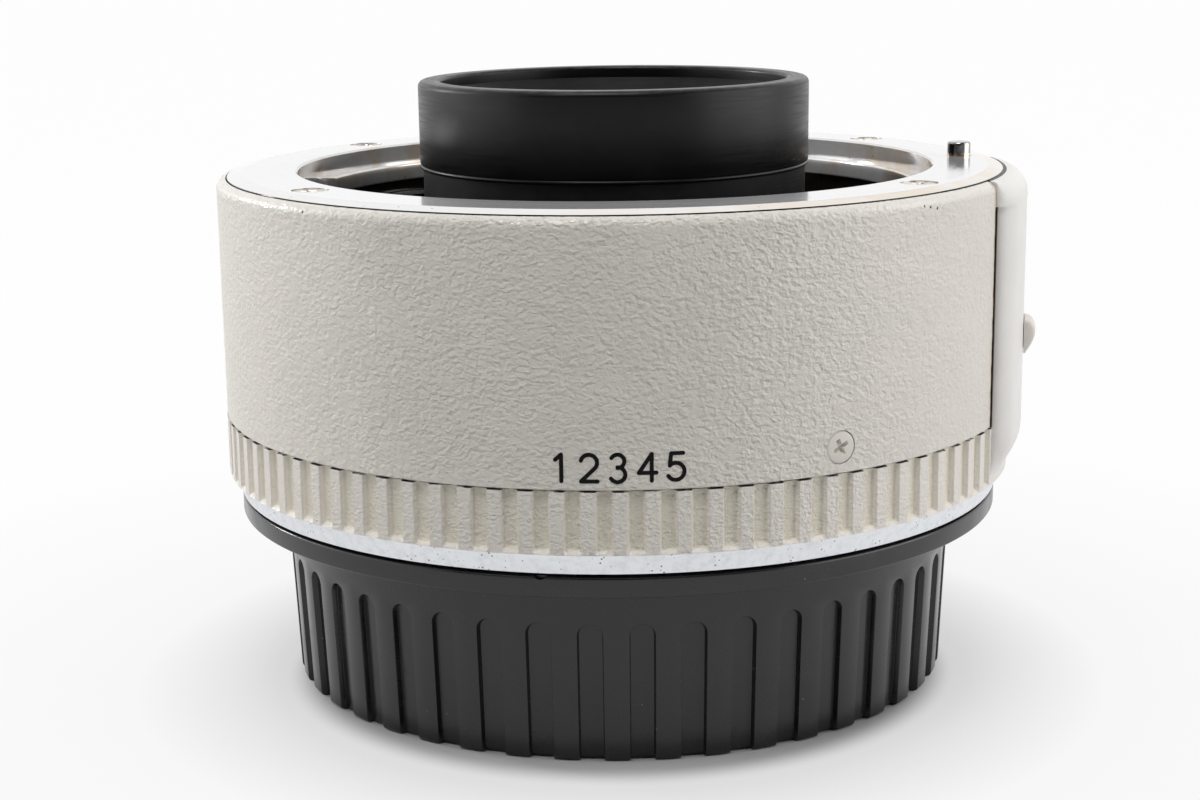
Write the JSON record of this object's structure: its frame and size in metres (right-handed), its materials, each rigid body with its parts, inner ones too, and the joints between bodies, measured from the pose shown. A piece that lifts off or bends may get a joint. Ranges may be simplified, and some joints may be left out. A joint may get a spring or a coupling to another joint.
{
  "type": "camera teleconverter",
  "caption": "Short round camera teleconverter with a lens bayonet, sprung lock pin and release, ribbed rear ring, raised lens cell and a turn-on slotted rear cap.",
  "frame": {"origin": "on the optical axis, at the foot of the rear cap that the part stands on", "axes": "+Z along the optical axis towards the lens side, +X towards the release block, -Y towards the contacts"},
  "size_m": [0.0698, 0.0676, 0.0507],
  "materials": {
    "cap_plastic": "satin moulded black",
    "flange_steel": "satin bright",
    "mount_screw_steel": "bright turned",
    "baffle_black": "matte black",
    "black_screw": "blackened",
    "contact_plastic": "smooth black",
    "contact_gold": "gold plated",
    "frame_alloy": "cast and machined",
    "ring_paint": "textured cream paint",
    "barrel_paint": "wrinkled cream paint",
    "painted_screw": "cream paint",
    "knob_paint": "smooth cream paint, worn",
    "inner_screw_steel": "zinc plated",
    "slide_steel": "pressed",
    "pin_chrome": "polished",
    "spring_steel": "spring wire and strip",
    "mount_chrome": "turned and plated",
    "circuit_film": "amber film",
    "black_alloy": "black anodised",
    "hood_black": "satin black",
    "lens_glass": "coated",
    "index_red": "gloss red"
  },
  "bodies": {
    "converter": {"rear_mount": "flange_steel", "rear_mount_screws": "mount_screw_steel", "rear_baffle": "baffle_black", "rear_baffle_screws": "black_screw", "rear_contact_block": "contact_plastic", "rear_contacts": "contact_gold", "main_frame": "frame_alloy", "rear_barrel": "ring_paint", "body_barrel": "barrel_paint", "body_screws": "painted_screw", "release_spring": "spring_steel", "front_mount": "mount_chrome", "front_mount_screws": "mount_screw_steel", "mount_spring": "spring_steel", "front_baffle": "baffle_black", "front_contact_block": "contact_plastic", "flex_circuit": "circuit_film", "lens_cell": "black_alloy", "lens_cell_screws": "inner_screw_steel", "front_hood": "hood_black", "front_retaining_ring": "black_alloy", "front_lens": "lens_glass", "front_spacer": "black_alloy", "second_lens": "lens_glass", "pair_front_lens": "lens_glass", "pair_rear_lens": "lens_glass", "rear_spacer": "black_alloy", "rear_lens": "lens_glass", "rear_retaining_ring": "black_alloy", "index_dots": "index_red"},
    "release": {"release_knob": "knob_paint", "knob_screw": "inner_screw_steel", "release_slide": "slide_steel", "lock_pin": "pin_chrome"},
    "contacts": {"contact_pins": "contact_gold"},
    "cap": {"rear_cap": "cap_plastic"}
  },
  "joints": [
    {"name": "release_press", "type": "slide", "parent": "converter", "child": "release", "axis": [0, 0, -1], "range_m": [0, 0.0022], "stiffness_N_per_m": 600, "springref_m": -0.002, "deforming": ["release_spring"]},
    {"name": "contact_press", "type": "slide", "parent": "converter", "child": "contacts", "axis": [0, 0, -1], "range_m": [0, 0.0006], "stiffness_N_per_m": 300, "springref_m": -0.0006},
    {"name": "cap_turn", "type": "hinge", "parent": "converter", "child": "cap", "pos_m": [0, 0, 0], "axis": [0, 0, -1], "range_deg": [0, 57]}
  ]
}
